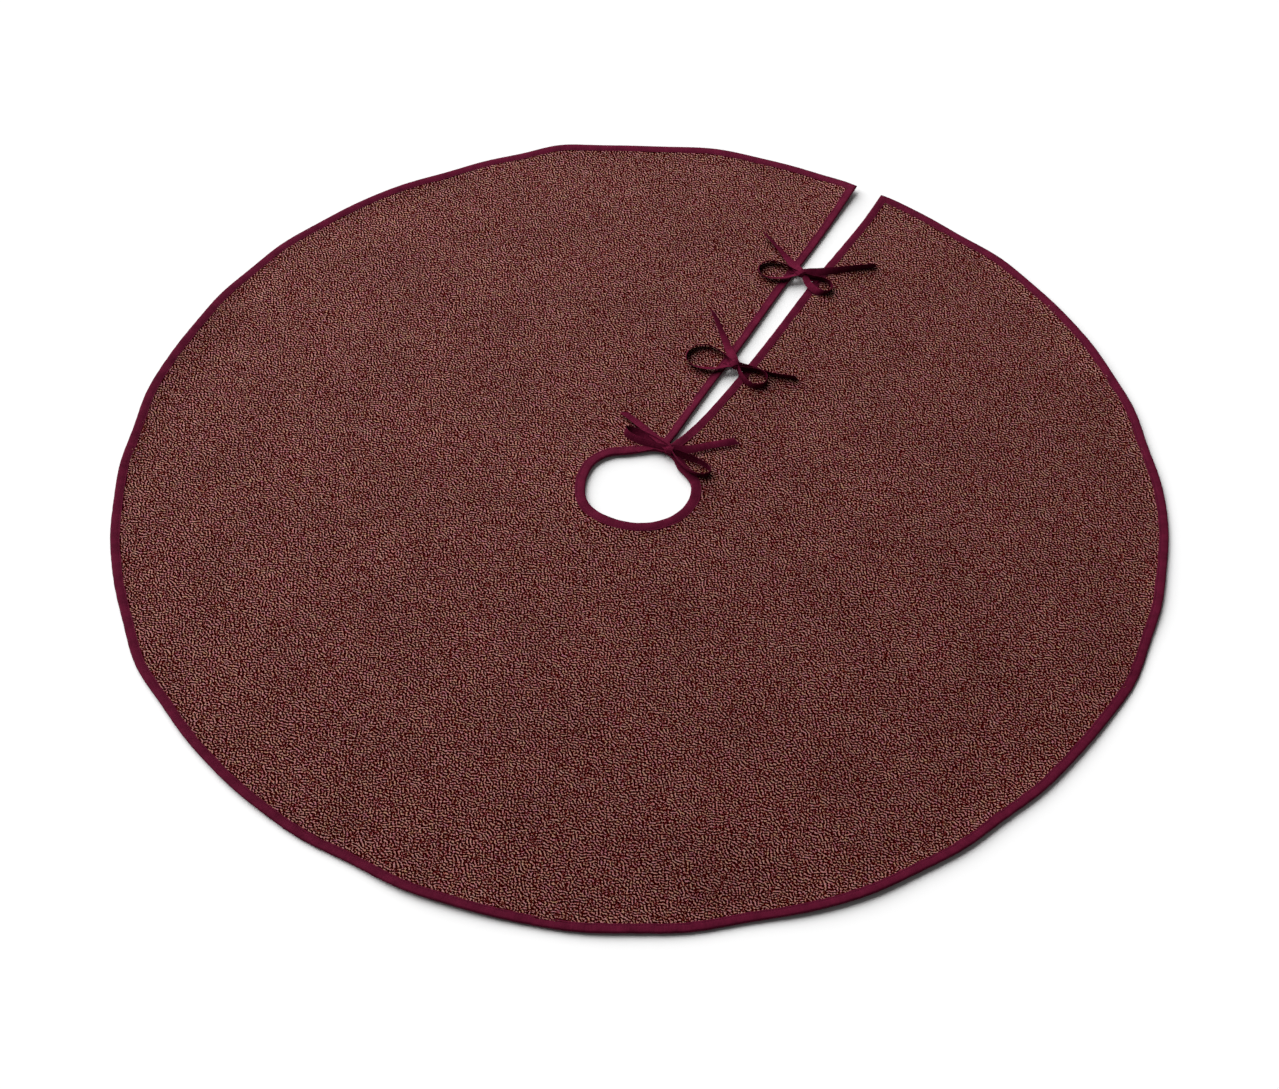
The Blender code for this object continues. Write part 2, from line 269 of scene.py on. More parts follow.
def hanging_cloth(flat, heights):
    """The whole skirt as a sheet of cloth that hangs from its stiff bound edges."""
    count = LIFT_ROWS * LIFT_COLUMNS
    points = np.concatenate([flat, heights[..., None]], axis=-1).reshape(count, 3)
    ring = np.arange(count).reshape(LIFT_ROWS, LIFT_COLUMNS)
    faces = np.stack([ring[:-1, :-1], ring[1:, :-1], ring[1:, 1:], ring[:-1, 1:]], axis=-1)
    mesh = bpy.data.meshes.new("settling")
    mesh.from_pydata(points.tolist(), [], faces.reshape(-1, 4).tolist())
    cloth = bpy.data.objects.new("settling", mesh)
    bpy.context.scene.collection.objects.link(cloth)
    bound = np.unique(np.concatenate([ring[0], ring[-1], ring[:, 0], ring[:, -1]]))
    edge = cloth.vertex_groups.new(name="bound_edge")
    edge.add(bound.tolist(), 1.0, "REPLACE")
    modifier = cloth.modifiers.new("settle", "CLOTH")
    settings = modifier.settings
    settings.quality = 6
    settings.mass = 0.4
    settings.tension_stiffness = settings.compression_stiffness = 20
    settings.shear_stiffness = 10
    settings.bending_stiffness = 3
    settings.air_damping = 2
    settings.vertex_group_mass = edge.name
    modifier.collision_settings.distance_min = 0.5 * MM
    modifier.collision_settings.use_self_collision = False
    modifier.point_cache.frame_end = SETTLE_FRAMES
    return cloth


def ground_to_land_on():
    bpy.ops.mesh.primitive_plane_add(size=3)
    ground = bpy.context.object
    ground.location.z = -1 * MM
    ground.modifiers.new("ground", "COLLISION")
    ground.collision.thickness_outer = 1 * MM
    return ground


def cloth_heights():
    """Drops the skirt on the floor, and returns each grid point's height over the lowest one."""
    flat = polar_grid(LIFT_ROWS, LIFT_COLUMNS)
    heights = held_heights(flat)
    cloth = hanging_cloth(flat, heights)
    ground = ground_to_land_on()
    for step in range(1, SETTLE_FRAMES + 1):
        bpy.context.scene.frame_set(step)
    settled = cloth.evaluated_get(bpy.context.evaluated_depsgraph_get()).data
    found = np.array([v.co.z for v in settled.vertices]).reshape(LIFT_ROWS, LIFT_COLUMNS)
    for helper in (cloth, ground):
        bpy.data.objects.remove(helper)
    bpy.context.scene.frame_set(1)
    return found - found.min()


def grid_value(grid, row, column):
    """Bilinear value at fractional rows and columns."""
    row = np.clip(row, 0, grid.shape[0] - 1.001)
    column = np.clip(column, 0, grid.shape[1] - 1.001)
    i, j = row.astype(int), column.astype(int)
    u, v = row - i, column - j
    near = grid[i, j] * (1 - v) + grid[i, j + 1] * v
    far = grid[i + 1, j] * (1 - v) + grid[i + 1, j + 1] * v
    return near * (1 - u) + far * u


LIFT = cloth_heights()


def lift_at(points):
    """The settled surface's height at each point. Across the slit, one flap's runs into the other's."""
    x, y = points[:, 0], points[:, 1]
    angle = np.degrees(np.arctan2(-x, y)) % 360
    radius = np.hypot(x, y)
    share = (radius - hole_radius(angle)) / (rim_radius(angle) - hole_radius(angle))
    row = np.clip(share, 0, 1) * (LIFT_ROWS - 1)
    column = angle / 360 * (LIFT_COLUMNS - 1)
    here = grid_value(LIFT, row, column)
    ends = [grid_value(LIFT, row, np.full_like(row, c)) for c in (0, LIFT_COLUMNS - 1)]
    across = np.clip((x + SEAM_BLEND) / (2 * SEAM_BLEND), 0, 1)
    over_slit = ends[0] * (1 - across) + ends[1] * across
    near_slit = (y > 0) & (np.abs(x) < SEAM_BLEND)
    fade = np.clip(np.abs(x) / SEAM_BLEND, 0, 1)
    return np.where(near_slit, over_slit * (1 - fade) + here * fade, here)


def lifted(points):
    """The points, drawn for a flat skirt, moved up with the settled surface."""
    moved = np.array(points, float)
    moved[:, 2] += lift_at(moved)
    return moved


# Materials.

FRONT = (0.48, -0.88, 0.0)  # towards the viewer, on the floor
PAINTED_FALLOFF = 0.25  # painted light and shade: share of the tone taken away per metre towards the front, so the back rim is painted brighter and the front one darker
LUREX_SPACING = 3.4  # between the lines of metallic thread, in mm
LINING_YARN = 0.7  # in mm


class Shader:
    """A material with short calls that add and join nodes. Lengths in its patterns are in mm."""

    def __init__(self, name):
        self.material = bpy.data.materials.new(name)
        self.material.use_nodes = True
        self.tree = self.material.node_tree
        self.principled = self.tree.nodes["Principled BSDF"]

    def node(self, kind, inputs, **settings):
        made = self.tree.nodes.new("ShaderNode" + kind)
        for name, value in settings.items():
            setattr(made, name, value)
        self.put(made, inputs)
        return made

    def put(self, node, inputs):
        for name, value in inputs.items():
            if isinstance(value, bpy.types.NodeSocket):
                self.tree.links.new(value, node.inputs[name])
            else:
                node.inputs[name].default_value = value

    def cloth_place(self):
        """The place on the cloth, in mm."""
        uv = self.node("UVMap", {}, uv_map="Cloth").outputs["UV"]
        scaled = self.node("VectorMath", {0: uv, 3: 1000}, operation="SCALE")
        return scaled.outputs[0]

    def math(self, operation, a, b=0.0, c=0.0, clamp=False):
        made = self.node("Math", {0: a, 1: b, 2: c}, operation=operation, use_clamp=clamp)
        return made.outputs[0]

    def around_half(self, *parts):
        """0.5, plus each (value, gain) part's distance from a half times its gain."""
        total = 0.5
        for value, gain in parts:
            away = self.math("MULTIPLY", self.math("SUBTRACT", value, 0.5), gain)
            total = self.math("ADD", away, total)
        return self.math("MULTIPLY", total, 1.0, clamp=True)

    def stretched(self, place, x, y):
        made = self.node("VectorMath", {0: place, 1: (x, y, 1)}, operation="MULTIPLY")
        return made.outputs[0]

    def warped(self, place, size, reach):
        """The place moved about by smooth noise of this size, by up to about half this reach."""
        noise = self.node("TexNoise", {"Vector": place, "Scale": 1 / size, "Detail": 1.0})
        middle = self.node("VectorMath", {0: noise.outputs["Color"], 1: (0.5, 0.5, 0.5)})
        middle.operation = "SUBTRACT"
        moved = self.node("VectorMath", {0: middle.outputs[0], 3: reach}, operation="SCALE")
        return self.node("VectorMath", {0: place, 1: moved.outputs[0]}).outputs[0]

    def noise(self, place, size, detail=0.0):
        inputs = {"Vector": place, "Scale": 1 / size, "Detail": detail}
        return self.node("TexNoise", inputs, noise_dimensions="2D").outputs["Fac"]

    def waves(self, place, size, direction="X"):
        """Even bands, size apart."""
        inputs = {"Vector": place, "Scale": math.pi / (10 * size)}
        return self.node("TexWave", inputs, bands_direction=direction).outputs["Fac"]

    def squiggles(self, place, size):
        """Short lines that wander and branch, size apart, and run mostly one way."""
        inputs = {
            "Vector": place,
            "Scale": 1 / (1.9 * size),
            "Frequency": 1.9,
            "Anisotropy": 0.35,
            "Orientation": math.radians(78),
        }
        return self.node("TexGabor", inputs).outputs["Value"]

    def ramp(self, factor, *stops):
        made = self.node("ValToRGB", {"Fac": factor})
        elements = made.color_ramp.elements
        while len(elements) < len(stops):
            elements.new(0.5)
        for element, (place, colour) in zip(elements, stops):
            element.position = place
            element.color = (*colour, 1)
        return made.outputs["Color"]

    def scaled(self, colour, amount):
        """The colour times a grey value."""
        grey = self.node("CombineColor", {0: amount, 1: amount, 2: amount}).outputs[0]
        made = self.node("Mix", {0: 1.0, 6: colour, 7: grey}, data_type="RGBA")
        made.blend_type = "MULTIPLY"
        return made.outputs[2]

    def tinted(self, colour, place, size, amount):
        """The colour with its green and blue, and so its hue, wandering from place to place."""
        noise = self.node("TexNoise", {"Vector": place, "Scale": 1 / size, "Detail": 2.0})
        least = 1 - amount / 2
        inputs = {0: noise.outputs["Color"], 1: (0, amount, amount), 2: (1, least, least)}
        varied = self.node("VectorMath", inputs, operation="MULTIPLY_ADD").outputs[0]
        made = self.node("VectorMath", {0: colour, 1: varied}, operation="MULTIPLY")
        return made.outputs[0]

    def front_shade(self):
        """Painted light and shade: a slow fall in tone across the whole skirt, from the back rim to the
        front one, as if the light fell off towards the front.
        """
        place = self.node("NewGeometry", {}).outputs["Position"]
        forward = self.node("VectorMath", {0: place, 1: FRONT}, operation="DOT_PRODUCT")
        fall = self.math("MULTIPLY", forward.outputs["Value"], PAINTED_FALLOFF)
        return self.math("SUBTRACT", 1.0, fall)

    def mixed(self, factor, a, b):
        return self.node("Mix", {0: factor, 6: a, 7: b}, data_type="RGBA").outputs[2]

    def bump(self, height, depth_mm, strength=1.0, normal=None):
        inputs = {"Height": height, "Distance": depth_mm * MM, "Strength": strength}
        if normal is not None:
            inputs["Normal"] = normal
        return self.node("Bump", inputs).outputs["Normal"]

    def finish(self, **inputs):
        names = {name.replace("_", " ").title(): value for name, value in inputs.items()}
        fixed = {"Ior": "IOR", "Specular Ior Level": "Specular IOR Level"}
        self.put(self.principled, {fixed.get(n, n): v for n, v in names.items()})
        return self.material


def lurex_cloth():
    """Dark burgundy ground under a crinkled, random line of rose-gold metallic thread. The ramp also
    paints near-black shade into the gaps between the threads and glints onto the thread, with small
    random specks of extra painted glint.
    """
    s = Shader("lurex_cloth")
    place = s.cloth_place()
    squiggle = s.squiggles(s.warped(place, 4.0, 2.0), LUREX_SPACING)
    # Painted glints: small random specks that brighten the thread.
    painted_glint_specks = s.noise(place, 1.5)
    shown = s.around_half((squiggle, 5.2), (painted_glint_specks, 2.4))
    # Painted shade and highlight: the ramp runs from near-black shade in the gaps, through the burgundy
    # ground, to painted glints on the rose-gold thread.
    colour = s.ramp(
        s.math("SUBTRACT", shown, 0.12),
        (0.0, (0.014, 0.0002, 0.0001)),
        (0.25, (0.036, 0.0004, 0.0003)),
        (0.50, (0.076, 0.0030, 0.0027)),
        (0.75, (0.172, 0.026, 0.0235)),
        (1.0, (0.495, 0.278, 0.242)),
    )
    colour = s.tinted(colour, place, 5.0, 1.1)
    patches = s.noise(place, 95.0, 2.0)
    streaks = s.noise(s.stretched(place, 0.15, 1), 14.0, 1.0)
    uneven = s.math("MULTIPLY_ADD", streaks, 0.3, patches)
    tone = s.math("MULTIPLY_ADD", uneven, 0.28, 0.755)
    # Painted light and shade: the tone falls from the back rim to the front.
    return s.finish(
        base_color=s.scaled(colour, s.math("MULTIPLY", tone, s.front_shade())),
        metallic=s.math("MULTIPLY", shown, 0.25),
        roughness=0.5,
        specular_ior_level=0.0,
        normal=s.bump(shown, 0.6),
    )


def satin(name, colour, shade, rib, sheen):
    """Woven satin: fine ribs across, a brushed grain along, and slow changes of tone. A darker colour
    is mixed in along the creases as painted shade.
    """
    s = Shader(name)
    place = s.cloth_place()
    ribs = s.waves(s.warped(place, 2.0, 0.12), rib, "X")
    grain = s.noise(s.stretched(place, 0.12, 1), 0.35, 2.0)
    weave = s.math("MULTIPLY_ADD", ribs, 0.6, s.math("MULTIPLY", grain, 0.8))
    slow = s.noise(place, 16.0, 3.0)
    creases = s.noise(s.stretched(place, 1, 0.35), 3.2, 2.0)
    tone = s.math("MULTIPLY_ADD", weave, 0.22, s.math("MULTIPLY_ADD", slow, 0.7, 0.45))
    # Painted shade: the darker second colour is mixed in where the creases lie.
    mixed = s.mixed(s.math("MULTIPLY", creases, 0.55), (*colour, 1), (*shade, 1))
    soft = s.bump(creases, 0.5, 0.5)
    # Painted light and shade: the tone falls from the back rim to the front.
    return s.finish(
        base_color=s.scaled(mixed, s.math("MULTIPLY", tone, s.front_shade())),
        metallic=0.15,
        roughness=s.math("SUBTRACT", 0.58, s.math("MULTIPLY", grain, 0.2)),
        specular_ior_level=0.0,
        sheen_weight=sheen,
        sheen_roughness=0.35,
        sheen_tint=(0.75, 0.10, 0.30, 1),
        normal=s.bump(weave, 0.10, 0.8, soft),
    )


def plain_weave(name, colour, size):
    """A matt over-and-under weave, with uneven yarns."""
    s = Shader(name)
    place = s.cloth_place()
    wavy = s.warped(place, 6.0, 0.5)
    across, along = s.waves(wavy, size, "X"), s.waves(wavy, size, "Y")
    over = s.math("MULTIPLY", across, along)
    slub = s.noise(s.stretched(place, 0.06, 1), 0.9, 2.0)
    tone = s.math("MULTIPLY_ADD", over, 0.7, s.math("MULTIPLY", slub, 0.8))
    tone = s.math("MULTIPLY_ADD", s.noise(place, 70.0, 2.0), 0.25, tone)
    return s.finish(
        base_color=s.scaled((*colour, 1), tone),
        roughness=0.85,
        specular_ior_level=0.0,
        normal=s.bump(s.math("ADD", over, slub), 0.2),
    )


def thread_finish(name, colour):
    """Twisted polyester thread: slanting plies along its length."""
    s = Shader(name)
    place = s.cloth_place()
    plies = s.waves(place, 0.5, "DIAGONAL")
    fuzz = s.noise(place, 0.2, 2.0)
    tone = s.math("MULTIPLY_ADD", plies, 0.6, s.math("MULTIPLY", fuzz, 0.9))
    return s.finish(
        base_color=s.scaled((*colour, 1), tone),
        roughness=0.6,
        specular_ior_level=0.0,
        normal=s.bump(s.math("ADD", plies, fuzz), 0.08),
    )


LUREX = lurex_cloth()
LINING = plain_weave("lining_weave", (0.105, 0.014, 0.030), LINING_YARN)
# Each satin's second colour is the painted shade for its creases.
TAPE = satin("binding_satin", (0.102, 0.0085, 0.026), (0.058, 0.004, 0.014), 0.30, 0.02)
RIBBON = satin("ribbon_satin", (0.116, 0.009, 0.030), (0.055, 0.003, 0.010), 0.26, 0.03)
THREAD = thread_finish("sewing_thread", (0.065, 0.008, 0.020))


# The cloth and its lining.

SHEET_ROWS = 56
SHEET_COLUMNS = (80, 16, 170, 16, 80)  # left flap, fold, plain half, fold, right flap
FACE_UNEVENNESS = 0.35 * MM
FACE_RIPPLE = 55 * MM


def strip_angle(radius, y):
    """The angle, on the left side, at which a circle of this radius crosses this y."""
    return np.degrees(np.arccos(y / radius))


def sheet_lines(inset):
    """Plan points (columns, rows) from the hole's edge to the rim, with straight columns along the
    slit's edges and across the fold."""
    rows = np.linspace(0, 1, SHEET_ROWS)
    shares = 0.55 * rows + 0.45 * (1 - np.cos(math.pi * rows)) / 2
    limits = (
        lambda r: slit_angle(LEFT, r, inset),
        lambda r: strip_angle(r, FOLD_REACH),
        lambda r: strip_angle(r, -FOLD_REACH),
        lambda r: 360 - strip_angle(r, -FOLD_REACH),
        lambda r: 360 - strip_angle(r, FOLD_REACH),
        lambda r: 360 + slit_angle(RIGHT, r, inset),
    )
    columns = []
    for sector, count in enumerate(SHEET_COLUMNS):
        is_last = sector == len(SHEET_COLUMNS) - 1
        for c in np.arange(count + is_last) / count:
            radius = HOLE_RADIUS + (RIM_RADIUS - HOLE_RADIUS) * shares
            for _ in range(5):
                angle = (1 - c) * limits[sector](radius) + c * limits[sector + 1](radius)
                low, high = hole_radius(angle) + inset, rim_radius(angle) - inset
                radius = low + (high - low) * shares
            columns.append(plan(angle, radius))
    return np.array(columns)


def mottle(points, size, height):
    """Slight random unevenness, never below zero."""
    phases = random.Random(5)
    total = np.zeros(points.shape[:-1])
    for _ in range(7):
        turn, start = phases.uniform(0, math.pi), phases.uniform(0, 2 * math.pi)
        length = size * phases.uniform(0.6, 1.7)
        along = points[..., 0] * math.cos(turn) + points[..., 1] * math.sin(turn)
        total += np.sin(2 * math.pi * along / length + start)
    return height * (1 + total / 7**0.5 / 2).clip(0)


def sheet(name, inset, bottom, top, material, unevenness):
    """One layer of cloth, closed all round."""
    lines = sheet_lines(inset)
    columns = len(lines)
    over = np.full((columns, SHEET_ROWS, 1), top)
    over[..., 0] += mottle(lines, FACE_RIPPLE, unevenness)
    upper = np.concatenate([lines, over], axis=-1)
    lower = np.concatenate([lines, np.full((columns, SHEET_ROWS, 1), bottom)], axis=-1)
    sections = np.concatenate([upper, lower[:, ::-1]], axis=1)
    builder = Builder()
    builder.sweep(sections, sections[..., :2])
    return builder.build(name, material)


# Bound edges. A path is (points, normals): plan points, and for each the way into the cloth.

CORNER_CLEAR = 11.8 * MM  # no station comes nearer a mitred corner, or the inner edge would cross

# The folded tape's section: (distance in from the edge, height), in mm.
TAPE_SECTION = (
    (9.0, 0.00),
    (5.0, 0.00),
    (2.0, 0.02),
    (0.7, 0.22),
    (0.1, 0.85),
    (0.0, 1.75),
    (0.1, 2.75),
    (0.5, 3.35),
    (1.3, 3.64),
    (2.8, 3.74),
    (4.8, 3.72),
    (6.2, 3.62),
    (7.1, 3.44),
    (7.5, 3.40),
    (8.0, 3.46),
    (8.7, 3.56),
    (9.05, 3.45),
    (9.15, 3.15),
    (9.0, 2.88),
    (7.2, 2.84),
    (4.0, 2.90),
    (2.0, 2.75),
    (1.25, 2.30),
    (1.0, 1.70),
    (1.3, 1.00),
    (2.2, 0.62),
    (5.0, 0.52),
    (9.0, 0.50),
)
STITCH_LINE = 7.4 * MM  # in from the edge, on a tape that has not spread
PUCKER = (14 * MM, 0.13 * MM, 0.12 * MM)  # length, and reach up and sideways
WAVER = (32 * MM, 0.30 * MM)  # the inner edge's: length, and reach sideways
SMOOTH_END = 15 * MM  # no puckers at a tape's very ends


def unit(vectors):
    return vectors / np.linalg.norm(vectors, axis=1, keepdims=True)


def way_in(points):
    """Unit normals to the right of the path."""
    along = unit(np.gradient(points, axis=0))
    return np.stack([along[:, 1], -along[:, 0]], axis=1)


def mitre(a, b):
    return (a + b) / (1 + a @ b)


def stations(start, end, step, corners=(False, False), near=()):
    """Values from start to end about step apart, and finer within a fold's reach of near. At a
    corner the first gap is longer, so that the mitre stays clean."""
    first = CORNER_CLEAR if corners[0] else step
    last = CORNER_CLEAR if corners[1] else step
    size = abs(end - start)
    inner = np.arange(first, size - last + step / 4, step)
    fine = np.linspace(-1.2 * FOLD_REACH, 1.2 * FOLD_REACH, 22)
    for place in near:
        inner = inner[np.abs(inner - place) > 1.25 * FOLD_REACH]
        inner = np.concatenate([inner, place + fine])
    inner = np.sort(inner)
    steps = np.concatenate([[0], inner, [size]])
    return start + math.copysign(1, end - start) * steps


def slit_corner(side):
    angle = slit_angle(side, rim_radius(0.0), 0)
    for _ in range(3):
        angle = slit_angle(side, rim_radius(angle), 0)
    return float(angle)


def rim_path():
    start, end = slit_corner(RIGHT), slit_corner(LEFT) - 360
    per_degree = math.radians(RIM_RADIUS)
    places = [(start + 90) * per_degree, (start + 270) * per_degree]
    along = stations(0, (start - end) * per_degree, 5 * MM, (True, True), places)
    angles = start - along / per_degree
    points = plan(angles, rim_radius(angles))
    return points, way_in(points)


def hole_path():
    gap = float(slit_angle(LEFT, hole_radius(0.0), 0))
    per_degree = math.radians(HOLE_RADIUS)
    size = (360 - 2 * gap) * per_degree
    places = [(90 - gap) * per_degree, (270 - gap) * per_degree]
    angles = gap + stations(0, size, 3 * MM, near=places) / per_degree
    points = plan(angles, hole_radius(angles))
    return points, way_in(points)


def slit_path(side):
    corner = plan(slit_corner(side), rim_radius(slit_corner(side)))
    y = stations(corner[1], NECK_Y, 5 * MM, (True, False))
    points = np.stack([slit_x(side, y), y], axis=1)
    if side == RIGHT:
        points = points[::-1]
    return points, way_in(points)


def mitred(paths):
    """Joins the ends of the right slit, rim and left slit paths with mitres."""
    (_, right), (_, rim), (_, left) = paths
    for before, after in ((right, rim), (rim, left)):
        joint = mitre(before[-1], after[0])
        before[-1] = after[0] = joint
    return paths


def wander(along, size, seed):
    """Smooth noise between about -1 and 1, along a path."""
    phases = random.Random(seed)
    total = np.zeros_like(along)
    for _ in range(6):
        length = size * phases.uniform(0.5, 2.0)
        total += np.sin(2 * math.pi * along / length + phases.uniform(0, 2 * math.pi))
    return total / 6**0.5


def distance_along(points):
    steps = np.linalg.norm(np.diff(points, axis=0), axis=1)
    return np.concatenate([[0], np.cumsum(steps)])


def tape(name, path, seed, share):
    """Tape folded over an edge, with small puckers and a wavering inner edge."""
    points, normals = path
    along = distance_along(points)
    profile = np.array(TAPE_SECTION) * MM
    reach, height = profile[:, 0], profile[:, 1]
    ends = np.clip(np.minimum(along, along[-1] - along) / SMOOTH_END, 0, 1)[:, None]
    pucker = wander(along, PUCKER[0], seed)[:, None] * ends
    waver = wander(along, WAVER[0], seed + 1)[:, None] * ends
    crown = np.clip((height - 2.4 * MM) / (1.4 * MM), 0, 1) * (reach < 7.2 * MM)
    inner_edge = reach > 7 * MM
    heights = height + PUCKER[1] * pucker * crown
    reaches = reach * share + WAVER[1] * waver * inner_edge + PUCKER[2] * pucker
    places = points[:, None, :] + normals[:, None, :] * reaches[..., None]
    sections = np.concatenate([places, heights[..., None]], axis=-1)
    round_it = np.concatenate([[0], np.cumsum(np.hypot(*np.diff(profile, axis=0).T))])
    builder = Builder()
    builder.sweep(sections, uv_grid(along, round_it))
    return builder.build(name, TAPE)


# Stitches.

STITCH_PITCH = 3.0 * MM
STITCH_LENGTH = 2.3 * MM
THREAD_RADIUS = 0.24 * MM
STITCH_SIDES = 6
STITCH_HEIGHT = 3.5 * MM
STITCH_SAG = 0.3 * MM
TACK_STITCHES = 9
TACK_PITCH = 0.62 * MM
TACK_HALF_WIDTH = 1.3 * MM
TACK_LEAN = 0.5 * MM
TACK_HEIGHT = 4.05 * MM
TACK_SAG = 0.35 * MM
TACK_INSET = 4.5 * MM  # its middle, in from the slit's edge


def capsule(start, end, radius, sag):
    """A short thread whose two ends dip into the cloth. Returns its sections and uvs."""
    start, end = np.array(start, float), np.array(end, float)
    along = (end - start) / np.linalg.norm(end - start)
    side = np.cross((0, 0, 1), along)
    side /= np.linalg.norm(side)
    up = np.cross(along, side)
    turns = np.linspace(0, 2 * math.pi, STITCH_SIDES, endpoint=False)
    ring = np.cos(turns)[:, None] * side + np.sin(turns)[:, None] * up
    sections, uvs = [], []
    for share, size, drop in ((0, 0.55, 1), (0.18, 1, 0.3), (0.82, 1, 0.3), (1, 0.55, 1)):
        middle = start + (end - start) * share - up * sag * drop
        sections.append(middle + ring * radius * size)
        v = turns * radius
        uvs.append(np.stack([np.full_like(v, share * STITCH_LENGTH), v], axis=1))
    return np.array(sections), np.array(uvs)


def stitch_row(name, path, seed, share, skip=(0.0, 0.0)):
    """Lockstitches along a bound edge, leaving out this much at either end."""
    points, normals = path
    row = points + normals * STITCH_LINE * share
    along = distance_along(row)
    spots = np.arange(skip[0] + STITCH_PITCH, along[-1] - skip[1] - STITCH_PITCH, STITCH_PITCH)
    rng = random.Random(seed)
    builder = Builder()
    for spot in spots:
        half = STITCH_LENGTH / 2 * rng.uniform(0.93, 1.07)
        slip = rng.uniform(-0.12, 0.12) * MM
        ends = []
        for place in (spot - half, spot + half):
            x, y = (np.interp(place, along, row[:, axis]) for axis in (0, 1))
            ends.append(np.array((x, y, STITCH_HEIGHT)))
        across = np.cross(ends[1] - ends[0], (0, 0, 1))
        across *= slip / np.linalg.norm(across)
        builder.sweep(*capsule(ends[0] + across, ends[1] - across, THREAD_RADIUS, STITCH_SAG))
    return builder.build(name, THREAD)


def bar_tack(name, side, y):
    """A tight ladder of stitches that holds the sewn end of a tie."""
    builder = Builder()
    middle = slit_x(side, y) + side * TACK_INSET
    for i in range(TACK_STITCHES):
        step = (i - (TACK_STITCHES - 1) / 2) * TACK_PITCH
        lean = TACK_LEAN if i % 2 else -TACK_LEAN
        start = (middle - TACK_HALF_WIDTH, y + step - lean, TACK_HEIGHT)
        end = (middle + TACK_HALF_WIDTH, y + step + lean, TACK_HEIGHT)
        builder.sweep(*capsule(start, end, THREAD_RADIUS, TACK_SAG))
    return builder.build(name, THREAD)


# Ribbons.

RIBBON_WIDTH = 9 * MM
RIBBON_THICKNESS = 0.40 * MM
RIBBON_SIDE_POINTS = 8
RIBBON_CUP = 0.5 * MM  # how far the middle stands off the two edges
TIE_CUP = 0.2 * MM
STEPS_BETWEEN_KEYS = 14
LOOP_STATIONS = 91
LOOP_HEIGHT = 7.2  # of its middle line, in mm
LOOP_ROOT_RISE = 1.2
TEARDROP_PEAK = 0.77  # the most that sin(t) * sin(t / 2) reaches

KNOT_SIDES = 28
KNOT_STATIONS = 17
KNOT_END = 0.02  # of its thickness
KNOT_FOLDS = (5, 7, 11)  # folds round the knot
KNOT_FOLD_DEPTH = 0.07
BAND_STATIONS = 32
BAND_SIDE_POINTS = 7
BAND_SHARE = 0.27  # half its width, as a share of the knot's length
BAND_LIFT = 0.35 * MM
BAND_SINK = -0.1 * MM


def through(keys, steps_each):
    """A smooth curve through the keys, as an array with a row for each step."""
    keys = np.array(keys, float)
    padded = np.concatenate([[2 * keys[0] - keys[1]], keys, [2 * keys[-1] - keys[-2]]])
    rows = []
    for i in range(len(keys) - 1):
        a, b, c, d = padded[i : i + 4]
        for t in np.arange(steps_each) / steps_each:
            curve = 2 * b + (c - a) * t
            curve += (2 * a - 5 * b + 4 * c - d) * t**2 + (3 * (b - c) + d - a) * t**3
            rows.append(curve / 2)
    rows.append(keys[-1])
    return np.array(rows)


def rolled_path(keys):
    """keys are (x, y, z, roll) in metres and degrees. At roll 0 the ribbon lies flat, and at 90 it
    stands on its edge. Returns the ribbon's middle line and its way across."""
    curve = through(keys, STEPS_BETWEEN_KEYS)
    middle, roll = curve[:, :3], np.radians(curve[:, 3])[:, None]
    along = unit(np.gradient(middle, axis=0))
    level = unit(np.cross((0, 0, 1), along))
    return middle, level * np.cos(roll) + np.cross(along, level) * np.sin(roll)


def loop_path(knot, loop):
    """A loop as a teardrop on the cloth. It leaves its root, swings out to one side, rounds the tip
    and comes back on the other side. The ribbon stands on its edge, and its upper edge leans."""
    turn = np.linspace(0, 2 * math.pi, LOOP_STATIONS)
    out = loop["length"] * np.sin(turn / 2) ** 2
    first, second = loop["reach"]
    side = -np.where(turn < math.pi, first, second) * np.sin(turn) * np.sin(turn / 2) / TEARDROP_PEAK
    heading = math.radians(loop["heading"])
    x = loop["root"][0] + out * math.cos(heading) - side * math.sin(heading)
    y = loop["root"][1] + out * math.sin(heading) + side * math.cos(heading)
    z = LOOP_HEIGHT + LOOP_ROOT_RISE * np.cos(turn / 2) ** 4
    middle = np.stack([x, y, z], axis=1) * MM + (knot.x, knot.y, 0)
    leans = np.array(loop["lean"], float)
    lean = [np.interp(turn, (0, math.pi, 2 * math.pi), leans[:, axis]) for axis in (0, 1)]
    upward = np.stack([*lean, np.ones_like(turn)], axis=1)
    along = unit(np.gradient(middle, axis=0))
    return middle, unit(upward - along * np.sum(along * upward, axis=1, keepdims=True))


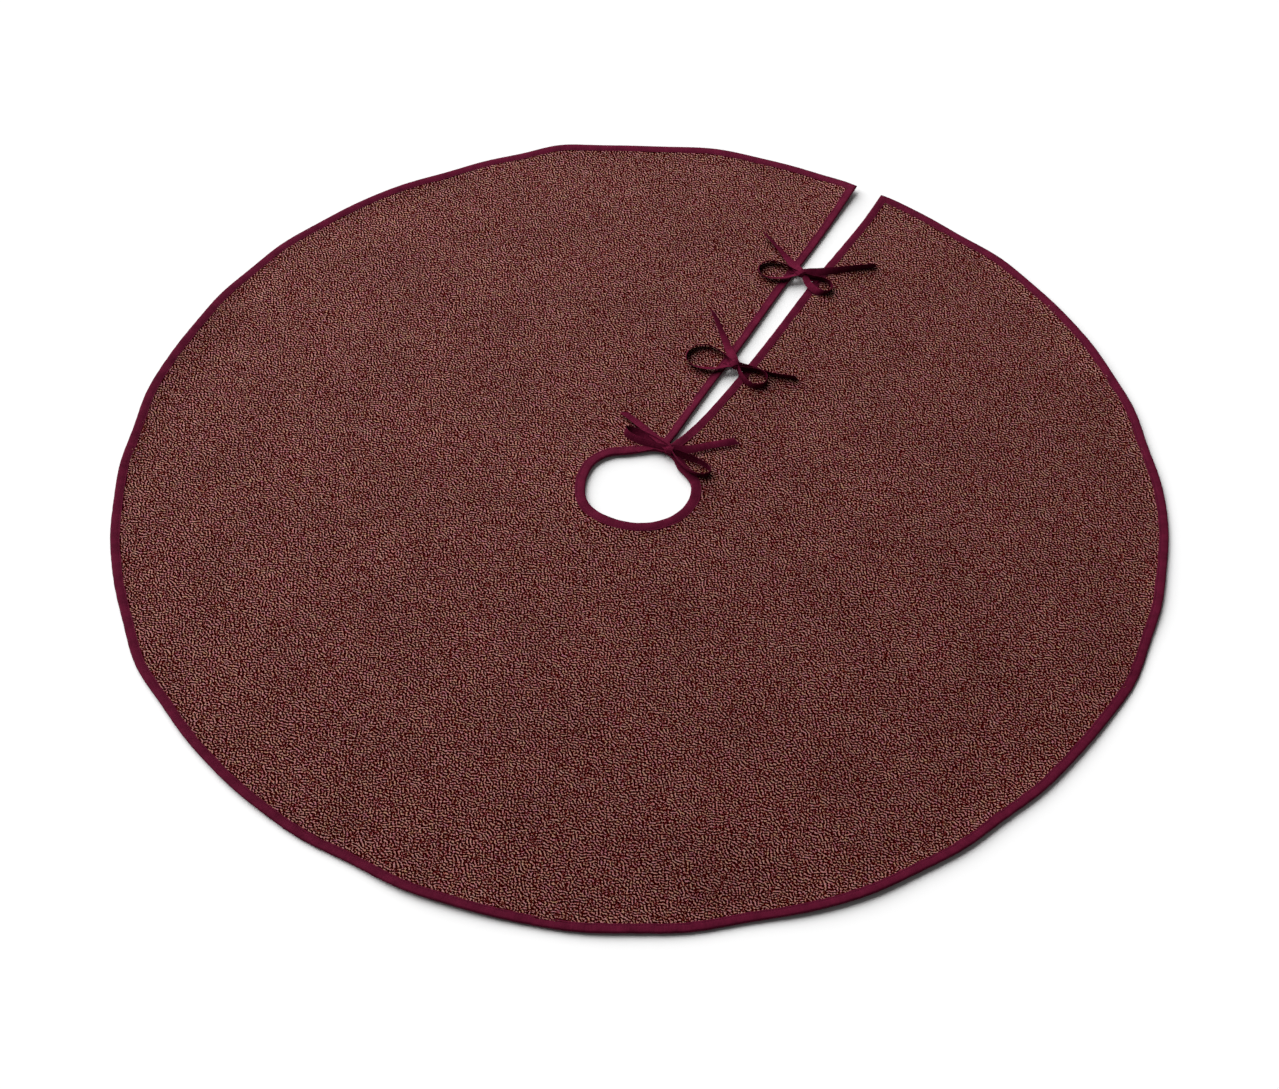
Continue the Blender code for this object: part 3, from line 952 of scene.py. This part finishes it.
def ribbon_sections(middle, across, slant=0.0, cup=RIBBON_CUP, spread=(1.0, 12 * MM)):
    """A ribbon along its middle line, with a way across at each point. slant cuts the far end at an
    angle. spread is the width's share at the near end, and how far from there it takes to come back
    to one."""
    along = unit(np.gradient(middle, axis=0))
    face = np.cross(along, across)
    far = distance_along(middle)
    share_here = spread[0] + (1 - spread[0]) * np.clip(far / spread[1], 0, 1) ** 0.8
    shares = np.linspace(-1, 1, RIBBON_SIDE_POINTS)
    half = RIBBON_WIDTH / 2 * share_here[:, None, None]
    bow = cup * (1 - shares**2)[None, :, None] * np.clip(2 - share_here, 0.5, 2)[:, None, None]
    places = middle[:, None, :] + across[:, None, :] * shares[None, :, None] * half
    places = places + face[:, None, :] * bow
    end_share = (far / far[-1])[:, None, None] ** 8
    places = places + along[:, None, :] * (shares[None, :, None] * slant * end_share)
    offset = face[:, None, :] * RIBBON_THICKNESS / 2
    sections = np.concatenate([places + offset, (places - offset)[:, ::-1]], axis=1)
    v = shares * RIBBON_WIDTH / 2
    return sections, uv_grid(far, np.concatenate([v, v[::-1] + RIBBON_WIDTH]))


def ribbon(name, path, **shape):
    builder = Builder()
    builder.sweep(*ribbon_sections(*path, **shape))
    return builder.build(name, RIBBON)


def from_knot(knot, keys):
    """Keys given in mm from the knot's middle over the floor, with z from the floor."""
    return [(knot.x + x * MM, knot.y + y * MM, z * MM, roll) for x, y, z, roll in keys]


def knot_core(size, creases):
    """Gathered ribbon along X, thin at both ends. Returns its sections and uvs."""
    around = np.linspace(0, 2 * math.pi, KNOT_SIDES, endpoint=False)
    shares = np.linspace(-1, 1, KNOT_STATIONS)
    rows = []
    for share in shares:
        fat = (1 - abs(share) ** 3.2) ** 0.5 if abs(share) < 1 else KNOT_END
        folds = sum(np.sin(k * around + c + share) for k, c in zip(KNOT_FOLDS, creases))
        ring = 1 + KNOT_FOLD_DEPTH * folds * (0.4 + abs(share))
        x = np.full_like(around, share * size[0] / 2)
        y = np.cos(around) * fat * ring * size[1] / 2
        z = np.sin(around) * fat * ring * size[2] / 2
        rows.append(np.stack([x, y, z], axis=1))
    return np.array(rows), uv_grid(shares * size[0] / 2, around * size[1] / 2)


def knot_band(size):
    """The ribbon wrapped round the core's middle. Returns its sections and uvs."""
    wrap = np.linspace(0, 2 * math.pi, BAND_STATIONS, endpoint=False)
    across = np.linspace(-1, 1, BAND_SIDE_POINTS)
    half_width = size[0] * BAND_SHARE
    rows = []
    for turn in wrap:
        outward = np.array((0, math.cos(turn), math.sin(turn)))
        row = []
        for lift, shares in ((BAND_LIFT, across), (BAND_SINK, across[::-1])):
            for share in shares:
                pinch = 1 + 0.05 * math.cos(3 * math.pi * share)
                radius = np.array((0, size[1], size[2])) / 2 * 1.05 * pinch
                shift = 0.5 * MM * math.sin(turn) + share * half_width
                row.append(np.array((shift, 0, 0)) + outward * (radius + lift))
        rows.append(row)
    v = np.concatenate([across, across[::-1] + 3]) * half_width
    return np.array(rows), uv_grid(wrap * size[1] / 2, v)


def knot_lump(name, knot, size, turn):
    """The tied middle: gathered ribbon, with a band of it wrapped round."""
    creases = np.random.default_rng(len(name)).uniform(0, 2 * math.pi, len(KNOT_FOLDS))
    turned = np.array(Matrix.Rotation(math.radians(turn), 3, "Z")).T
    builder = Builder()
    for (sections, uvs), closed in ((knot_core(size, creases), False), (knot_band(size), True)):
        builder.sweep(sections @ turned + np.array(knot), uvs, closed)
    return builder.build(name, RIBBON)


# Bows. Places are in mm from the CAD knot's middle, and heights in mm over the floor.
# shift is how far the visible knot's middle slips from the CAD one.
# A tail's keys are (x, y, height, roll).
# A loop has its root, its length towards heading, how far its two legs reach out to the sides, and
# how far its upper edge leans, per mm of height, at the root, at the tip and back at the root.

BOWS = {
    "neck": {
        "turn": 10,
        "shift": (2, -5.5),
        "left_tail": ((0, -5, 9.6, 0), (-32, 7, 8.8, 3), (-53, 15, 7.4, 6), (-76, 22, 6.6, 13)),
        "right_tail": ((4, -6, 9.2, 35), (22, 9, 8.4, 22), (40, 29, 7.6, 14), (61, 48, 8.4, 26)),
        "left_loop": {
            "root": (0, -6),
            "heading": 176,
            "length": 60,
            "reach": (5, 6),
            "lean": ((0.15, 0.9), (0.2, 0.5), (0, 0.5)),
        },
        "right_loop": {
            "root": (6, -7.5),
            "heading": 356,
            "length": 52,
            "reach": (13, 7),
            "lean": ((0, -0.4), (0.2, -0.1), (0, 0.6)),
        },
    },
    "middle": {
        "turn": -35,
        "shift": (4, -5),
        "left_tail": ((6, -6, 9.4, 0), (-16, 17, 6.8, 0), (-37, 39, 6, 24), (-63, 64, 8.2, 45)),
        "right_tail": ((8, -5, 8, 62), (24, 3, 7.3, 104), (48, 7, 6.9, 111), (78, 16, 7.2, 102)),
        "left_loop": {
            "root": (4, -6),
            "heading": 186,
            "length": 61,
            "reach": (21, 18),
            "lean": ((0.4, -0.7), (0.5, -0.7), (1.3, -2.2)),
        },
        "right_loop": {
            "root": (9, -6.5),
            "heading": 349,
            "length": 40,
            "reach": (11, 15),
            "lean": ((0.2, 0.2), (0.1, 0.0), (0.2, -0.6)),
        },
    },
    "outer": {
        "turn": -30,
        "shift": (4, -5),
        "left_tail": ((5, -6, 9.4, 0), (-20, 11, 7, 0), (-42, 25, 6, 30), (-70, 39, 9, 41)),
        "right_tail": ((7, -5, 9, 20), (22, 10, 8.6, 32), (45, 32, 6.8, 68), (76, 59, 7.6, 106)),
        "left_loop": {
            "root": (4, -6.5),
            "heading": 193,
            "length": 53,
            "reach": (16, 14),
            "lean": ((0.4, -0.7), (0.5, -0.7), (1.3, -2.2)),
        },
        "right_loop": {
            "root": (9, -6.5),
            "heading": 353,
            "length": 39,
            "reach": (11, 12),
            "lean": ((1.8, 3.2), (0.4, -0.2), (0.1, -0.3)),
        },
    },
}
KNOT_SIZE = (13 * MM, 10.5 * MM, 7.0 * MM)
SPREAD_AT_KNOT = {"tail": (1.30, 38 * MM), "loop": (0.85, 12 * MM)}
TIP_SLANT = {"left_tail": 2.6 * MM, "right_tail": -2.6 * MM, "left_loop": 0.0, "right_loop": 0.0}


def middle_of(node):
    low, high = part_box(node)
    return (low + high) / 2


def bend_from_knot(piece):
    """Bakes the placement of a piece that leaves its knot into its mesh."""
    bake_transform(piece)


# The hole's tape runs on as the neck ties: (degrees from the slit, height in mm), outside in.
NECK_TIE_RISE = ((32, 3.35), (25, 3.6), (18, 4.3), (11, 4.9))


def tie_keys(bow_name, side, knot, slipped):
    """From inside the binding's fold, over the slit, up to the underside of the knot."""
    if bow_name == "neck":
        keys = []
        for angle, height in NECK_TIE_RISE:
            turn = -side * angle
            place = plan(turn, hole_radius(turn) + TAPE_WIDTH / 2)
            keys.append((*place, height * MM, 0))
    else:
        y = knot.y
        edge = float(slit_x(side, y))
        keys = [
            (edge + side * 7.0 * MM, y - 1.5 * MM, 4.05 * MM, 0),
            (edge + side * 2.0 * MM, y - 1.0 * MM, 4.25 * MM, 0),
        ]
    end_x = slipped.x + side * 1.0 * MM
    x, y = keys[-1][0], keys[-1][1]
    halfway = ((x + end_x) / 2, (y + slipped.y) / 2, 5.6 * MM, 0)
    return [*keys, halfway, (end_x, slipped.y, 7.0 * MM, 0)]


def make_bow(bow_name, bow):
    node = f"{bow_name}_bow_knot"
    knot = middle_of(node)
    slipped = knot + Vector((*bow["shift"], 0)) * MM
    made = knot_lump(node, slipped, KNOT_SIZE, bow["turn"])
    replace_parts(attach(made), node)
    for side_name, side in SIDES.items():
        node = f"{bow_name}_bow_{side_name}_tie"
        path = rolled_path(tie_keys(bow_name, side, knot, slipped))
        made = ribbon(node, path, cup=TIE_CUP)
        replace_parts(attach(made), node)
        for kind in ("tail", "loop"):
            node = f"{bow_name}_bow_{side_name}_{kind}"
            part = f"{side_name}_{kind}"
            if kind == "loop":
                path = loop_path(knot, bow[part])
            else:
                path = rolled_path(from_knot(knot, bow[part]))
            made = ribbon(node, path, slant=TIP_SLANT[part], spread=SPREAD_AT_KNOT[kind])
            bend_from_knot(made)
            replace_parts(made, node)


# Assembly.


def attach(piece):
    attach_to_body(piece, "tied_half")
    return piece


def fold_over(piece):
    """The piece crosses the fold. Bakes its placement into its mesh."""
    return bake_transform(piece)


def thirds(pattern):
    return [pattern.format(part) for part in ("left", "right", "plain")]


def make_cloth():
    face = sheet("face_cloth", CLOTH_INSET, CLOTH_BOTTOM, CLOTH_TOP, LUREX, FACE_UNEVENNESS)
    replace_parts(fold_over(face), *thirds("face_cloth_{}"))
    lining = sheet("lining", CLOTH_INSET, LINING_BOTTOM, LINING_TOP, LINING, 0.0)
    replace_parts(fold_over(lining), *thirds("lining_{}"))


def make_edges():
    right, rim, left = mitred((slit_path(RIGHT), rim_path(), slit_path(LEFT)))
    hole = hole_path()
    for name, path, seed, skip in (("rim", rim, 1, TAPE_WIDTH), ("hole", hole, 2, 18 * MM)):
        share = TAPE_SHARES[name]
        made = fold_over(tape(f"{name}_binding", path, seed, share))
        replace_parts(made, *thirds(name + "_binding_{}"))
        row = fold_over(stitch_row(f"{name}_stitching", path, seed + 2, share, (skip, skip)))
        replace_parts(row, *thirds(name + "_stitching_{}"))
    share = TAPE_SHARES["slit"]
    for name, path, skip in (("left", left, (TAPE_WIDTH, 0)), ("right", right, (0, TAPE_WIDTH))):
        made = tape(f"slit_binding_{name}", path, len(name), share)
        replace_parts(attach(made), f"slit_binding_{name}")
        row = stitch_row(f"slit_stitching_{name}", path, len(name) + 2, share, skip)
        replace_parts(attach(row), f"slit_stitching_{name}")


def make_bows():
    for bow_name, bow in BOWS.items():
        make_bow(bow_name, bow)
    for bow_name in ("middle", "outer"):
        for side_name, side in SIDES.items():
            node = f"{bow_name}_{side_name}_bar_tack"
            made = bar_tack(node, side, middle_of(node).y)
            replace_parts(attach(made), node)


# Stage.

CAMERA_AZIMUTH = math.radians(28.8)
CAMERA_ELEVATION = math.radians(48.97)
CAMERA_ROLL = math.radians(1.394)
CAMERA_DISTANCE = 2.790
CAMERA_TARGET = Vector((0.0446, -0.0762, 0))
CAMERA_LENS = 69.68  # mm, on a sensor 36 mm wide
KEY_FROM = Vector((-0.78, 0.23, 0.58))  # where the main light comes from
KEY_STRENGTH = 5.6
KEY_SPREAD = math.radians(76)
SURROUND_LIGHT = 0.10
FLOOR_GREY = 0.92


def make_floor():
    bpy.ops.mesh.primitive_plane_add(size=40)
    floor = bpy.context.object
    floor.name = "floor"
    material = bpy.data.materials.new("floor")
    material.use_nodes = True
    shader = material.node_tree.nodes["Principled BSDF"]
    shader.inputs["Base Color"].default_value = (FLOOR_GREY, FLOOR_GREY, FLOOR_GREY, 1)
    shader.inputs["Roughness"].default_value = 0.9
    shader.inputs["Specular IOR Level"].default_value = 0.1
    floor.data.materials.append(material)


def make_light(name, towards, strength, spread):
    """A sun that shines from this direction."""
    light = bpy.data.lights.new(name, "SUN")
    light.energy = strength
    light.angle = spread
    obj = bpy.data.objects.new(name, light)
    bpy.context.scene.collection.objects.link(obj)
    obj.location = towards * 4
    obj.rotation_mode = "QUATERNION"
    obj.rotation_quaternion = towards.to_track_quat("Z", "Y")


def make_surround():
    """A white surround that lights the skirt only weakly."""
    world = bpy.data.worlds.new("studio")
    world.use_nodes = True
    nodes, links = world.node_tree.nodes, world.node_tree.links
    seen = nodes.new("ShaderNodeLightPath")
    strength = nodes.new("ShaderNodeMapRange")
    strength.inputs["To Min"].default_value = SURROUND_LIGHT
    background = nodes["Background"]
    background.inputs["Color"].default_value = (1, 1, 1, 1)
    links.new(seen.outputs["Is Camera Ray"], strength.inputs["Value"])
    links.new(strength.outputs["Result"], background.inputs["Strength"])
    return world


def make_stage():
    make_floor()
    make_light("key", KEY_FROM, KEY_STRENGTH, KEY_SPREAD)
    scene = bpy.context.scene
    scene.world = make_surround()
    scene.view_settings.view_transform = "Standard"
    scene.view_settings.look = "None"


def make_camera():
    camera = bpy.data.objects.new("camera", bpy.data.cameras.new("camera"))
    bpy.context.scene.collection.objects.link(camera)
    camera.data.sensor_width = 36
    camera.data.lens = CAMERA_LENS
    flat = math.cos(CAMERA_ELEVATION)
    back = Vector(
        (
            math.sin(CAMERA_AZIMUTH) * flat,
            -math.cos(CAMERA_AZIMUTH) * flat,
            math.sin(CAMERA_ELEVATION),
        )
    )
    camera.location = CAMERA_TARGET + back * CAMERA_DISTANCE
    camera.rotation_mode = "QUATERNION"
    level = (-back).to_track_quat("-Z", "Y")
    camera.rotation_quaternion = level @ Matrix.Rotation(CAMERA_ROLL, 3, "Z").to_quaternion()
    bpy.context.scene.camera = camera


make_cloth()
make_edges()
make_bows()
make_stage()
make_camera()
